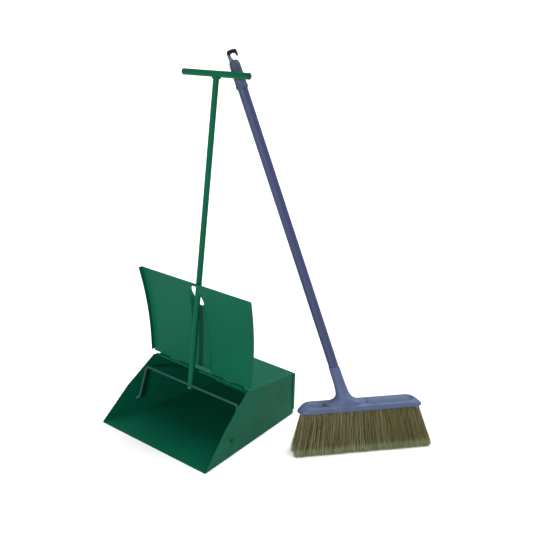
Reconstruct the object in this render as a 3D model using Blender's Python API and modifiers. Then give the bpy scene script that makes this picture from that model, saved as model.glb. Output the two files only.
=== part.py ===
"""Upright dust pan with a self-closing lid, and its long-handled brush.

Metres, +Z up. The origin is the middle of the pan's floor, on its underside. The pan's
mouth faces -Y, its closed back faces +Y, and the brush stands behind its right side.
"""
import math

import bmesh
import bpy
from mathutils import Euler, Matrix, Quaternion, Vector

# --------------------------------------------------------------------------- pan
SHEET = 0.001             # thickness of all the sheet metal
GAP = 0.0003              # clearance between pieces that lie against each other
LIP_WIDTH = 0.280         # the mouth, outside to outside
BACK_WIDTH = 0.214        # the back, outside to outside
DEPTH = 0.288             # lip to back
COVER_SETBACK = 0.127     # lip to the hinge line
BACK_HEIGHT = 0.0885      # side walls at the back
LIP_EDGE = 0.0015         # where the walls' sloped edges start above the floor
WALL_BULGE = 0.007        # how far the walls' sloped edges swell above a straight line
BACK_TAB = 0.020          # the floor's upturned edge inside the back panel
BACK_PANEL_BASE = 0.0105  # lower edge of the back panel
BACK_FLANGE = 0.008       # how far the back panel wraps round the side walls
COVER_FLANGE = 0.009      # folds of the fixed cover inside the side walls

# ------------------------------------------------------------------------- hinge
PIN_RADIUS = 0.0015
KNUCKLE_RADIUS = 0.0024   # middle of the rolled sheet
KNUCKLE_WRAP = 255.0      # degrees of roll
KNUCKLE_NOTCH = 0.0045    # depth of the sheet's notches between its knuckles
WRAP_STEPS = 10
PIN_HALF = 0.1215
HINGE_HEIGHT = 0.1122
LID_KNUCKLES = ((0.031, 0.059), (0.085, 0.113))    # spans on each side of the middle
COVER_KNUCKLES = ((0.0, 0.0302), (0.0598, 0.0842))

# --------------------------------------------------------------------------- lid
LID_REACH_Y = -0.0170     # the free edge from the hinge line, along Y
LID_REACH_Z = 0.1835      # the free edge above the hinge line
LID_BULGE = 0.0075        # swell of the lid's curve, to the back
LID_WIDTH_LOW = 0.2612
LID_WIDTH_TOP = 0.2875
LID_FLANGE = 0.008
LID_FLANGE_START = 0.045  # as a fraction of the lid's length
LID_NOTCH = 0.022         # the lid's lower edge between its knuckles, as a fraction
SLOT_LOW, SLOT_TOP = 0.722, 0.966                  # fractions of the lid's length
SLOT_WIDTH = 0.0185
SLOT_CORNER = 0.0085
CHANNEL_DEPTH = 0.009
CHANNEL_CORE = 0.0125     # half the width of the channel's flat bottom, at the slot
CHANNEL_COLUMNS = (0.0, 0.0065, 0.0125, 0.0155, 0.0185, 0.022, 0.026)

# ---------------------------------------------------------------- bail and handle
WIRE_RADIUS = 0.0025
BAIL_HALF = 0.1235        # middle of an arm from the middle of the pan
BAIL_PIVOT_Y = 0.080      # from the lip
BAIL_PIVOT_Z = 0.030
BAIL_TOP_Y = 0.1012       # crossbar, from the lip
BAIL_TOP_Z = 0.0915
BAIL_CORNER = 0.007
BAIL_FOOT_CORNER = 0.0045
BAIL_STUB = 0.0055        # the bail's ends beyond the walls
RETAINER_GRIP = 0.003     # depth of the cap on each end
ROD_RADIUS = 0.0055
ROD_WALL = 0.001
ROD_LEAN = 6.0            # degrees back from upright
ROD_SIDE_LEAN = 0.4       # degrees to the right, where the rod is a little out of true
ROD_FOOT = 0.0045         # rod below the crossbar's middle
GRIP_HEIGHT = 0.6735      # middle of the grip above the floor
GRIP_TILT = 2.0           # degrees that the grip's right end is welded high
GRIP_RADIUS = 0.0058
GRIP_WALL = 0.0012
GRIP_LEFT, GRIP_RIGHT = -0.080, 0.0755

# ------------------------------------------------------------------------- brush
BRUSH_FOOT = (0.2845, 0.1240)   # middle of the bristles on the floor
BRUSH_TURN = 52.9         # degrees, the block's long side from +X
BRUSH_TILT = 11.8         # degrees, the whole brush leaning back
TUBE_LEAN = 17.6          # degrees, the tube from the block's own upright
TUBE_RADIUS = 0.009
TUBE_WALL = 0.0009
TUBE_START, TUBE_END = 0.112, 0.7280    # distances from the foot, along the tube
BLOCK_BASE = 0.0750
BLOCK_TOP = 0.0920
BLOCK_LEFT, BLOCK_RIGHT = -0.1195, 0.1200
BLOCK_THICK = 0.038
BRISTLE_LEFT, BRISTLE_RIGHT = -0.134, 0.140
BRISTLE_INSET = 0.005     # bristles' roots inside the block's outline
BRISTLE_ROWS = 4
BRISTLE_THICK_TOP, BRISTLE_THICK_FOOT = 0.030, 0.040
CAP_START, CAP_END = 0.6975, 0.7490
HOOK_SIZE = 0.005
HOOK_SPINE, HOOK_TIP = -0.0050, 0.0083   # middles of the hook's two legs, across the tube
HOOK_RISE, HOOK_MOUTH = 0.0152, 0.0045   # its crown's middle and its tip, above the cap


def clear_scene():
    """Remove whatever the file holds."""
    for item in list(bpy.data.objects):
        bpy.data.objects.remove(item, do_unlink=True)


def collection(name):
    """A collection linked to the scene."""
    group = bpy.data.collections.new(name)
    bpy.context.scene.collection.children.link(group)
    return group


def material(name, colour, roughness, metallic=0.0):
    """A plain Principled material."""
    made = bpy.data.materials.new(name)
    made.use_nodes = True
    shader = made.node_tree.nodes["Principled BSDF"]
    shader.inputs["Base Color"].default_value = (*colour, 1.0)
    shader.inputs["Roughness"].default_value = roughness
    shader.inputs["Metallic"].default_value = metallic
    made.diffuse_color = (*colour, 1.0)
    return made


def mesh_object(name, bm, finish, parent=None):
    """Turn a bmesh into a named object in the parts collection."""
    mesh = bpy.data.meshes.new(name)
    bm.to_mesh(mesh)
    bm.free()
    made = bpy.data.objects.new(name, mesh)
    PARTS.objects.link(made)
    made.parent = parent
    made.data.materials.append(finish)
    return made


def empty(name, location, rotation=(0.0, 0.0, 0.0), parent=None):
    """An empty that marks a joint's axis or a piece's own frame."""
    made = bpy.data.objects.new(name, None)
    made.empty_display_size = 0.02
    PARTS.objects.link(made)
    made.location = location
    made.rotation_euler = rotation
    made.parent = parent
    return made


def make_cutter(made):
    """Hide an object that only shapes others."""
    PARTS.objects.unlink(made)
    CUTTERS.objects.link(made)
    made.hide_render = True
    made.display_type = "WIRE"
    return made


def subtract(target, cutter):
    """Cut one object from another."""
    cut = target.modifiers.new("cut_" + cutter.name, "BOOLEAN")
    cut.operation = "DIFFERENCE"
    cut.solver = "EXACT"
    cut.object = cutter
    return cut


def thicken(target, offset=-1.0, thickness=SHEET):
    """Give an open surface its sheet thickness."""
    solid = target.modifiers.new("sheet", "SOLIDIFY")
    solid.thickness = thickness
    solid.offset = offset
    solid.use_even_offset = True
    solid.use_rim = True
    return solid


def shade(target, angle=35.0):
    """Smooth the round faces and keep the folds sharp."""
    target.data.shade_smooth()
    target.data.set_sharp_from_angle(angle=math.radians(angle))


def cylinder(name, radius, low, high, finish, parent=None, axis="Z", sides=24):
    """A closed cylinder along X or Z, between two stations."""
    bm = bmesh.new()
    bmesh.ops.create_cone(bm, cap_ends=True, segments=sides, radius1=radius, radius2=radius,
                          depth=high - low)
    bmesh.ops.translate(bm, verts=bm.verts, vec=(0.0, 0.0, (low + high) / 2))
    if axis == "X":
        bmesh.ops.rotate(bm, verts=bm.verts, matrix=Matrix.Rotation(math.radians(90.0), 3, "Y"))
    made = mesh_object(name, bm, finish, parent)
    shade(made)
    return made


def turned(name, profile, finish, parent=None, steps=32):
    """A profile of (radius, height) from top to bottom, turned about Z."""
    bm = bmesh.new()
    verts = [bm.verts.new((radius, 0.0, height)) for radius, height in profile]
    for first, second in zip(verts, verts[1:]):
        bm.edges.new((first, second))
    made = mesh_object(name, bm, finish, parent)
    screw = made.modifiers.new("turn", "SCREW")
    screw.steps = steps
    screw.render_steps = steps
    screw.use_merge_vertices = True
    screw.merge_threshold = 0.00005
    screw.use_smooth_shade = True
    return made


def wire(name, points, radius, finish, parent=None):
    """A round wire through points, as a welded closed mesh."""
    curve = bpy.data.curves.new(name, "CURVE")
    curve.dimensions = "3D"
    curve.bevel_depth = radius
    curve.bevel_resolution = 2
    curve.use_fill_caps = True
    spline = curve.splines.new("POLY")
    spline.points.add(len(points) - 1)
    for place, point in zip(spline.points, points):
        place.co = (*point, 1.0)
    guide = bpy.data.objects.new(name + "_guide", curve)
    PARTS.objects.link(guide)
    mesh = bpy.data.meshes.new_from_object(guide.evaluated_get(bpy.context.evaluated_depsgraph_get()))
    bpy.data.objects.remove(guide, do_unlink=True)
    bm = bmesh.new()
    bm.from_mesh(mesh)
    bpy.data.meshes.remove(mesh)
    bmesh.ops.remove_doubles(bm, verts=bm.verts, dist=0.00001)
    made = mesh_object(name, bm, finish, parent)
    shade(made, 50.0)
    return made


def corner(before, bend, after, radius, steps=5):
    """Points of a round corner at bend, between two straight runs."""
    bend = Vector(bend)
    first = (Vector(before) - bend).normalized()
    second = (Vector(after) - bend).normalized()
    half = first.angle(second) / 2
    centre = bend + (first + second).normalized() * radius / math.sin(half)
    start = bend + first * radius / math.tan(half) - centre
    end = bend + second * radius / math.tan(half) - centre
    turn = start.rotation_difference(end)
    return [tuple(centre + Quaternion().slerp(turn, step / steps) @ start) for step in range(steps + 1)]


def pan_half_width(from_lip):
    """Half the pan's outside width, at a distance behind the lip."""
    return (LIP_WIDTH + (BACK_WIDTH - LIP_WIDTH) * from_lip / DEPTH) / 2


def from_lip(distance):
    """The Y coordinate of a place behind the lip."""
    return distance - DEPTH / 2


HINGE = Vector((0.0, from_lip(COVER_SETBACK), HINGE_HEIGHT))
PIVOT = Vector((0.0, from_lip(BAIL_PIVOT_Y), BAIL_PIVOT_Z))
CROSSBAR = Vector((0.0, from_lip(BAIL_TOP_Y), BAIL_TOP_Z))
COVER_LEVEL = HINGE_HEIGHT - KNUCKLE_RADIUS + SHEET / 2     # top of the cover at the hinge
COVER_SLOPE = (BACK_HEIGHT - COVER_LEVEL) / (DEPTH - COVER_SETBACK)


def sheet_grid(columns, rows, place):
    """An open surface of columns by rows, each corner set by place(column, row)."""
    bm = bmesh.new()
    bmesh.ops.create_grid(bm, x_segments=len(columns) - 1, y_segments=len(rows) - 1, size=1.0)
    cells = {}
    for vert in bm.verts:
        across = round((vert.co.x + 1) / 2 * (len(columns) - 1))
        along = round((vert.co.y + 1) / 2 * (len(rows) - 1))
        cells[vert] = (across, along)
        vert.co = place(columns[across], rows[along])
    return bm, cells


def drop_cells(bm, cells, unwanted):
    """Delete the grid's faces for which unwanted(lowest column, lowest row) holds."""
    gone = [face for face in bm.faces
            if unwanted(min(cells[v][0] for v in face.verts), min(cells[v][1] for v in face.verts))]
    bmesh.ops.delete(bm, geom=gone, context="FACES")


def in_knuckle(left, right, knuckles):
    """Whether the grid's column between left and right belongs to one of the rolled knuckles."""
    near, far = sorted((abs(left), abs(right)))
    return any(low - 1e-6 <= near and far <= high + 1e-6 for low, high in knuckles)


def mirrored(values):
    """The values on both sides of the middle, in order."""
    return sorted({-value for value in values} | set(values))


# ---------------------------------------------------------------------- pan pieces
def build_tray(finish):
    """Floor, side walls and the low upturned edge at the back, folded from one sheet."""
    bm = bmesh.new()
    bmesh.ops.create_grid(bm, x_segments=1, y_segments=1, size=1.0)
    back = DEPTH - SHEET - GAP
    for vert in bm.verts:
        distance = 0.0 if vert.co.y < 0 else back
        vert.co = (math.copysign(pan_half_width(distance), vert.co.x), from_lip(distance), 0.0)
    folded = [edge for edge in bm.edges if max(vert.co.y for vert in edge.verts) > 0]
    raised = bmesh.ops.extrude_edge_only(bm, edges=folded)["geom"]
    top = [item for item in raised if isinstance(item, bmesh.types.BMVert)]
    bmesh.ops.translate(bm, verts=top, vec=(0.0, 0.0, HINGE_HEIGHT * 1.5))

    def trim(point, normal):
        bmesh.ops.bisect_plane(bm, geom=bm.verts[:] + bm.edges[:] + bm.faces[:], dist=1e-6,
                               plane_co=point, plane_no=normal, clear_outer=True)

    trim((0.0, HINGE.y, COVER_LEVEL), (0.0, -COVER_SLOPE, 1.0))
    low = Vector((0.0, from_lip(0.0), LIP_EDGE))
    high = Vector((0.0, HINGE.y, COVER_LEVEL))
    run = high - low
    outward = Vector((0.0, -run.z, run.y)).normalized()
    steps = 7
    edge = [low + run * (step / steps) + outward * WALL_BULGE * 4 * (step / steps) * (1 - step / steps)
            for step in range(steps + 1)]
    for first, second in zip(edge, edge[1:]):
        along = second - first
        trim(first, (0.0, -along.z, along.y))
    tab = [face for face in bm.faces if abs(face.normal.y) > 0.9]
    around = list({item for face in tab for item in (*face.verts, *face.edges)})
    bmesh.ops.bisect_plane(bm, geom=tab + around, dist=1e-6, plane_co=(0, 0, BACK_TAB), plane_no=(0, 0, 1))
    above = [face for face in bm.faces
             if abs(face.normal.y) > 0.9 and face.calc_center_median().z > BACK_TAB]
    bmesh.ops.delete(bm, geom=above, context="FACES_ONLY")
    loose = [edge for edge in bm.edges if not edge.link_faces]
    bmesh.ops.delete(bm, geom=loose, context="EDGES")
    bmesh.ops.recalc_face_normals(bm, faces=bm.faces)
    floor = min(bm.faces, key=lambda face: face.calc_center_median().z)
    if floor.normal.z > 0:
        bmesh.ops.reverse_faces(bm, faces=bm.faces)
    made = mesh_object("pan_tray", bm, finish)
    thicken(made)
    holes = cylinder("pivot_holes", WIRE_RADIUS + 0.0006, -0.2, 0.2, finish, axis="X", sides=20)
    holes.location = PIVOT
    subtract(made, make_cutter(holes))
    return made


def build_back_panel(finish):
    """The back, wrapped round the side walls and ending above the floor."""
    columns = (-2, -1, 1, 2)
    rows = (0, 1)
    top = BACK_HEIGHT - 0.0004
    half = pan_half_width(DEPTH) + GAP + SHEET
    flare = pan_half_width(DEPTH - BACK_FLANGE) - pan_half_width(DEPTH)

    def place(column, row):
        height = top if row else BACK_PANEL_BASE
        if abs(column) == 1:
            return (column * half, from_lip(DEPTH), height)
        lift = -COVER_SLOPE * BACK_FLANGE if row else 0.0
        return (math.copysign(half + flare, column), from_lip(DEPTH - BACK_FLANGE), height + lift)

    bm, _ = sheet_grid(columns, rows, place)
    bmesh.ops.recalc_face_normals(bm, faces=bm.faces)
    panel = max(bm.faces, key=lambda face: face.calc_center_median().y)
    if panel.normal.y < 0:
        bmesh.ops.reverse_faces(bm, faces=bm.faces)
    made = mesh_object("back_panel", bm, finish)
    thicken(made)
    return made


def build_cover(finish):
    """The fixed cover, folded down inside the walls and rolled round the hinge pin."""
    spans = [edge for span in COVER_KNUCKLES for edge in span]
    columns = mirrored(spans + [1.0, 2.0])
    rows = ["rear", "notch", "front"] + [step / WRAP_STEPS for step in range(1, WRAP_STEPS + 1)]

    def place(column, row):
        if row == "rear":
            y, z = from_lip(DEPTH - 2 * SHEET - 3 * GAP), BACK_HEIGHT - SHEET / 2
        elif row == "notch":
            y = HINGE.y + KNUCKLE_NOTCH
            z = COVER_LEVEL - SHEET / 2 + COVER_SLOPE * KNUCKLE_NOTCH
        elif row == "front":
            y, z = HINGE.y, COVER_LEVEL - SHEET / 2
        else:
            turn = math.radians(270.0 - KNUCKLE_WRAP * row)
            y = HINGE.y + KNUCKLE_RADIUS * math.cos(turn)
            z = HINGE.z + KNUCKLE_RADIUS * math.sin(turn)
        edge = pan_half_width(y + DEPTH / 2) - SHEET - GAP - SHEET / 2
        if abs(column) == 1.0:
            return (column * edge, y, z)
        if abs(column) == 2.0:
            return (math.copysign(edge, column), y, z - COVER_FLANGE)
        return (column, y, z)

    bm, cells = sheet_grid(columns, rows, place)

    def unwanted(across, along):
        return along >= rows.index("notch") and not in_knuckle(columns[across], columns[across + 1],
                                                               COVER_KNUCKLES)

    drop_cells(bm, cells, unwanted)
    made = mesh_object("top_cover", bm, finish)
    thicken(made, 0.0)
    shade(made)
    return made


def build_hinge_pin(finish):
    """The pin through the rolled knuckles."""
    made = cylinder("hinge_pin", PIN_RADIUS, -PIN_HALF, PIN_HALF, finish, axis="X", sides=14)
    made.location = HINGE
    return made


# ---------------------------------------------------------------------- lid pieces
def lid_point(fraction):
    """The middle of the lid's sheet from its hinge, as (y, z) from the pin."""
    chord = Vector((0.0, LID_REACH_Y - KNUCKLE_RADIUS, LID_REACH_Z))
    rearward = Vector((0.0, chord.z, -chord.y)).normalized()
    point = Vector((0.0, KNUCKLE_RADIUS, 0.0)) + chord * fraction
    point += rearward * LID_BULGE * 4 * fraction * (1 - fraction)
    return point, rearward


def channel_push(x, fraction):
    """How far the pressed channel stands out behind the sheet."""
    spread = 1 - min(1.0, fraction / SLOT_LOW)
    core = CHANNEL_CORE + 0.003 * spread
    shoulder = core + 0.006 + 0.010 * spread
    across = (abs(x) - core) / (shoulder - core)
    across = min(1.0, max(0.0, across))
    fade = min(1.0, max(0.0, (0.93 - fraction) / 0.20))
    smooth = across * across * (3 - 2 * across)
    return CHANNEL_DEPTH * (1 - smooth) * fade * fade * (3 - 2 * fade)


def build_lid(finish, axis):
    """The curved lid: flanged sides, pressed channel, slot, rolled knuckles."""
    knuckles = [edge for span in LID_KNUCKLES for edge in span]
    columns = mirrored([*CHANNEL_COLUMNS, *knuckles, 1.0, 2.0])
    rows = [("roll", 1 - step / WRAP_STEPS) for step in range(WRAP_STEPS)]
    rows += [("sheet", value) for value in
             (0.0, LID_NOTCH, LID_FLANGE_START, 0.12, 0.2, 0.3, 0.4, 0.5, 0.6, SLOT_LOW, 0.82, 0.90, 0.95, 1.0)]

    def place(column, row):
        kind, value = row
        if kind == "roll":
            turn = math.radians(-KNUCKLE_WRAP * value)
            point = Vector((0.0, KNUCKLE_RADIUS * math.cos(turn), KNUCKLE_RADIUS * math.sin(turn)))
            rearward = Vector((0.0, 1.0, 0.0))
            value = 0.0
        else:
            point, rearward = lid_point(value)
        edge = (LID_WIDTH_LOW + (LID_WIDTH_TOP - LID_WIDTH_LOW) * value) / 2 - SHEET / 2
        if abs(column) == 1.0:
            return (column * edge, point.y, point.z)
        if abs(column) == 2.0:
            point = point - rearward * LID_FLANGE
            return (math.copysign(edge, column), point.y, point.z)
        if kind == "sheet":
            point = point + rearward * channel_push(column, value)
        return (column, point.y, point.z)

    bm, cells = sheet_grid(columns, rows, place)
    flange_row = rows.index(("sheet", LID_FLANGE_START))
    edge_row = rows.index(("sheet", LID_NOTCH))

    def unwanted(across, along):
        left, right = columns[across], columns[across + 1]
        if max(abs(left), abs(right)) == 2.0:
            return along < flange_row
        return along < edge_row and not in_knuckle(left, right, LID_KNUCKLES)

    drop_cells(bm, cells, unwanted)
    made = mesh_object("lid_panel", bm, finish, axis)
    thicken(made, 0.0)
    shade(made)
    low, _ = lid_point(SLOT_LOW)
    high, _ = lid_point(SLOT_TOP)
    bm = bmesh.new()
    bmesh.ops.create_cube(bm, size=1.0)
    bmesh.ops.scale(bm, verts=bm.verts, vec=(SLOT_WIDTH, 0.06, (high - low).length))
    upright = [edge for edge in bm.edges if abs(edge.verts[0].co.y - edge.verts[1].co.y) > 0.01]
    bmesh.ops.bevel(bm, geom=upright, offset=SLOT_CORNER, segments=4, affect="EDGES", profile=0.5)
    slot = mesh_object("lid_slot", bm, finish, axis)
    slot.location = (low + high) / 2
    slot.rotation_euler = (-math.atan2((high - low).y, (high - low).z), 0.0, 0.0)
    subtract(made, make_cutter(slot))
    return made


# --------------------------------------------------------------- bail and handle
def build_bail(finish, axis):
    """The wire bail: two arms, a crossbar, and ends turned out through the walls."""
    top = CROSSBAR - PIVOT
    end = pan_half_width(BAIL_PIVOT_Y) + BAIL_STUB
    route = []
    for side in (-1, 1):
        tip = (side * end, 0.0, 0.0)
        foot = (side * BAIL_HALF, 0.0, 0.0)
        head = (side * BAIL_HALF, top.y, top.z)
        middle = (0.0, top.y, top.z)
        half = [tip] + corner(tip, foot, head, BAIL_FOOT_CORNER) + corner(foot, head, middle, BAIL_CORNER)
        route += half if side < 0 else half[::-1]
    return wire("bail_wire", route, WIRE_RADIUS, finish, axis)


def build_retainers(finish, axis):
    """Push-on caps over the bail's ends, outside the walls."""
    inner = pan_half_width(BAIL_PIVOT_Y) + BAIL_STUB - RETAINER_GRIP
    profile = ((0.0, 0.0045), (0.0030, 0.0045), (0.0042, 0.0034), (0.0044, 0.0), (WIRE_RADIUS + GAP, 0.0),
               (WIRE_RADIUS + GAP, RETAINER_GRIP + GAP), (0.0, RETAINER_GRIP + GAP))
    for side, name in ((-1, "bail_cap_left"), (1, "bail_cap_right")):
        made = turned(name, profile, finish, axis, 20)
        made.rotation_euler = (0.0, math.radians(90.0 * side), 0.0)
        made.location = (side * inner, 0.0, 0.0)


def build_rod(finish, axis):
    """The upright tube, bored for the crossbar and seated under the grip."""
    turn = Euler((-math.radians(ROD_LEAN), math.radians(ROD_SIDE_LEAN), 0.0))
    upward = turn.to_matrix() @ Vector((0.0, 0.0, 1.0))
    length = (GRIP_HEIGHT - CROSSBAR.z) / upward.z
    top = length - GRIP_RADIUS - GAP
    profile = ((ROD_RADIUS - ROD_WALL, top), (ROD_RADIUS, top), (ROD_RADIUS, -ROD_FOOT),
               (ROD_RADIUS - ROD_WALL, -ROD_FOOT), (ROD_RADIUS - ROD_WALL, top))
    made = turned("handle_rod", profile, finish, axis, 24)
    made.rotation_euler = turn
    bore = cylinder("crossbar_bore", WIRE_RADIUS + 0.0004, -0.02, 0.02, finish, axis, "X", 20)
    subtract(made, make_cutter(bore))
    return turn, upward * length


def build_grip(finish, plug_finish, axis, centre):
    """The crossways tube and its two end plugs."""
    tilt = Matrix.Rotation(-math.radians(GRIP_TILT), 3, "Y")
    inner = GRIP_RADIUS - GRIP_WALL
    profile = ((inner, GRIP_RIGHT), (GRIP_RADIUS, GRIP_RIGHT), (GRIP_RADIUS, GRIP_LEFT),
               (inner, GRIP_LEFT), (inner, GRIP_RIGHT))
    made = turned("grip_bar", profile, finish, axis, 24)
    made.rotation_euler = (0.0, math.radians(90.0 - GRIP_TILT), 0.0)
    made.location = centre
    bore = inner - GAP
    plug = ((0.0, 0.0030), (GRIP_RADIUS - 0.0012, 0.0030), (GRIP_RADIUS, 0.0020), (GRIP_RADIUS, GAP),
            (bore, GAP), (bore, -0.009), (0.0, -0.009))
    for side, end, name in ((-1, GRIP_LEFT, "grip_plug_left"), (1, GRIP_RIGHT, "grip_plug_right")):
        made = turned(name, plug, plug_finish, axis, 20)
        made.rotation_euler = (0.0, math.radians(90.0 * side - GRIP_TILT), 0.0)
        made.location = centre + tilt @ Vector((end, 0.0, 0.0))


def build_rod_foot(finish, axis, turn):
    """The plug that closes the rod's lower end."""
    bore = ROD_RADIUS - ROD_WALL - GAP
    plug = ((0.0, 0.0012), (bore, 0.0012), (bore, -GAP), (ROD_RADIUS, -GAP), (ROD_RADIUS, -0.0009),
            (ROD_RADIUS - 0.0012, -0.0018), (0.0, -0.0018))
    made = turned("rod_foot_plug", plug, finish, axis, 20)
    made.rotation_euler = turn
    made.location = turn.to_matrix() @ Vector((0.0, 0.0, -ROD_FOOT))


# ------------------------------------------------------------------- brush pieces
def rounded_plan(left, right, thick, radius, steps=4):
    """The outline of a long plate with round corners, anticlockwise from above."""
    radius = min(radius, thick / 2)
    points = []
    corners = ((right, 1, 1, 0.0), (left, -1, 1, 90.0), (left, -1, -1, 180.0), (right, 1, -1, 270.0))
    for x, across, deep, start in corners:
        centre = (x - across * radius, deep * (thick / 2 - radius))
        for step in range(steps + 1):
            turn = math.radians(start + 90.0 * step / steps)
            points.append((centre[0] + radius * math.cos(turn), centre[1] + radius * math.sin(turn)))
    return points


def lofted(name, rings, finish, parent):
    """A closed solid through rings of equal point counts, lowest first."""
    bm = bmesh.new()
    loops = [[bm.verts.new(point) for point in ring] for ring in rings]
    for low, high in zip(loops, loops[1:]):
        for at in range(len(low)):
            after = (at + 1) % len(low)
            bm.faces.new((low[at], low[after], high[after], high[at]))
    bm.faces.new(loops[0][::-1])
    bm.faces.new(loops[-1])
    bmesh.ops.recalc_face_normals(bm, faces=bm.faces)
    made = mesh_object(name, bm, finish, parent)
    shade(made)
    return made


def build_block(finish, frame, tube):
    """The brush block with its leaning socket, moulded in one."""
    levels = ((0.0, 0.0010, 0.0010), (0.0020, 0.0, 0.0), (0.0060, 0.0, 0.0018), (0.0105, 0.0, 0.0062),
              (0.0135, 0.0015, 0.0105), (BLOCK_TOP - BLOCK_BASE, 0.0050, 0.0145))
    rings = []
    for above, side_inset, end_inset in levels:
        height = BLOCK_BASE + above
        plan = rounded_plan(BLOCK_LEFT + end_inset, BLOCK_RIGHT - end_inset, BLOCK_THICK - 2 * side_inset, 0.016)
        rings.append([(x, y, height) for x, y in plan])
    block = lofted("brush_block", rings, finish, frame)
    flare = ((0.0, 0.163), (0.0112, 0.163), (0.0113, 0.150), (0.0117, 0.135), (0.0127, 0.121),
             (0.0145, 0.110), (0.0170, 0.101), (0.0178, 0.094), (0.0178, 0.087), (0.0, 0.087))
    socket = turned("socket_boss", flare, finish, tube, 28)
    make_cutter(socket)
    join = block.modifiers.new("socket", "BOOLEAN")
    join.operation = "UNION"
    join.solver = "EXACT"
    join.object = socket
    bore = cylinder("socket_bore", TUBE_RADIUS + GAP, TUBE_START - GAP, 0.18, finish, tube, sides=28)
    subtract(block, make_cutter(bore))


def build_bristles(finish, frame):
    """One plain solid for each row of tufts, flaring to the floor."""
    tilt = math.tan(math.radians(BRUSH_TILT))
    for row in range(BRISTLE_ROWS):
        rings = []
        for height, left, right, thick in (
                (0.0, BRISTLE_LEFT, BRISTLE_RIGHT, BRISTLE_THICK_FOOT),
                (BLOCK_BASE - GAP, BLOCK_LEFT + BRISTLE_INSET, BLOCK_RIGHT - BRISTLE_INSET,
                 BRISTLE_THICK_TOP)):
            pitch = thick / BRISTLE_ROWS
            middle = -thick / 2 + pitch * (row + 0.5)
            ends = 0.004 if row in (0, BRISTLE_ROWS - 1) else 0.0
            plan = rounded_plan(left + ends, right - ends, pitch - 2 * GAP, 0.003, 2)
            ring = []
            for x, y in plan:
                y += middle
                ring.append((x, y, height + (y * tilt if height == 0.0 else 0.0)))
            rings.append(ring)
        lofted("bristle_row_%d" % (row + 1), rings, finish, frame)


def build_tube(finish, plug_finish, tube):
    """The long tube and the threaded plug in its lower end."""
    inner = TUBE_RADIUS - TUBE_WALL
    profile = ((inner, TUBE_END), (TUBE_RADIUS, TUBE_END), (TUBE_RADIUS, TUBE_START),
               (inner, TUBE_START), (inner, TUBE_END))
    turned("brush_tube", profile, finish, tube, 28)
    plug = ((0.0, TUBE_START + 0.040), (inner - GAP, TUBE_START + 0.040),
            (inner - GAP, TUBE_START + 0.001), (0.0, TUBE_START + 0.001))
    turned("tube_plug", plug, plug_finish, tube, 20)


def build_cap(finish, hook_finish, tube):
    """The cap over the tube's top, and its hanging hook."""
    bore = TUBE_RADIUS + GAP
    profile = ((0.0, CAP_END), (0.0050, CAP_END - 0.0003), (0.0085, CAP_END - 0.0030), (0.0100, CAP_END - 0.0080),
               (0.0101, CAP_START + 0.008), (0.0108, CAP_START + 0.0055), (0.0108, CAP_START + 0.001),
               (0.0104, CAP_START), (bore, CAP_START), (bore, TUBE_END + GAP), (0.0, TUBE_END + GAP))
    turned("end_cap", profile, finish, tube, 28)
    base = (HOOK_SPINE, 0.0, CAP_END + GAP)
    shoulder = (HOOK_SPINE, 0.0, CAP_END + HOOK_RISE)
    crown = (HOOK_TIP, 0.0, CAP_END + HOOK_RISE)
    tip = (HOOK_TIP, 0.0, CAP_END + HOOK_MOUTH)
    route = [base, *corner(base, shoulder, crown, 0.004, 4), *corner(shoulder, crown, tip, 0.0035, 4), tip]
    wire("hanging_hook", route, HOOK_SIZE / 2, hook_finish, tube)


# -------------------------------------------------------------------------- build
clear_scene()
PARTS = collection("dust_pan_and_brush_set")
CUTTERS = collection("cutters")

green = material("green_painted_steel", (0.006, 0.117, 0.062), 0.42)
bare_steel = material("bare_steel", (0.35, 0.35, 0.34), 0.35, 1.0)
dark_plastic = material("dark_plastic", (0.012, 0.014, 0.016), 0.5)
blue_plastic = material("blue_grey_plastic", (0.090, 0.100, 0.190), 0.45)
tube_coat = material("blue_grey_coated_tube", (0.080, 0.088, 0.160), 0.40)
bristle = material("olive_bristle", (0.095, 0.090, 0.038), 0.7)

build_tray(green)
build_back_panel(green)
build_cover(green)
build_hinge_pin(green)

lid_axis = empty("lid_axis", HINGE)
build_lid(green, lid_axis)

bail_axis = empty("bail_axis", PIVOT)
build_bail(green, bail_axis)
build_retainers(green, bail_axis)

handle_axis = empty("handle_axis", CROSSBAR - PIVOT, parent=bail_axis)
rod_turn, grip_middle = build_rod(green, handle_axis)
build_grip(green, dark_plastic, handle_axis, grip_middle)
build_rod_foot(bare_steel, handle_axis, rod_turn)

brush_frame = empty("brush_frame", (*BRUSH_FOOT, 0.0),
                    (-math.radians(BRUSH_TILT), 0.0, math.radians(BRUSH_TURN)))
tube_frame = empty("tube_frame", (0.0, 0.0, 0.0), (0.0, -math.radians(TUBE_LEAN), 0.0), brush_frame)
build_block(blue_plastic, brush_frame, tube_frame)
build_bristles(bristle, brush_frame)
build_tube(tube_coat, dark_plastic, tube_frame)
build_cap(blue_plastic, dark_plastic, tube_frame)
bpy.context.view_layer.update()
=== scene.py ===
"""Upright dust pan with a self-closing lid, and its long-handled brush.

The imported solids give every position. Each class below models one sub-assembly in their place,
with folds, rolled knuckles, welds and single bristles, and dresses it in its own finishes.
"""

import logging
import math
from collections.abc import Callable, Sequence
from dataclasses import dataclass, field
from enum import Enum

import bmesh
import bpy
import numpy as np
from mathutils import Matrix, Quaternion, Vector


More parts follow.
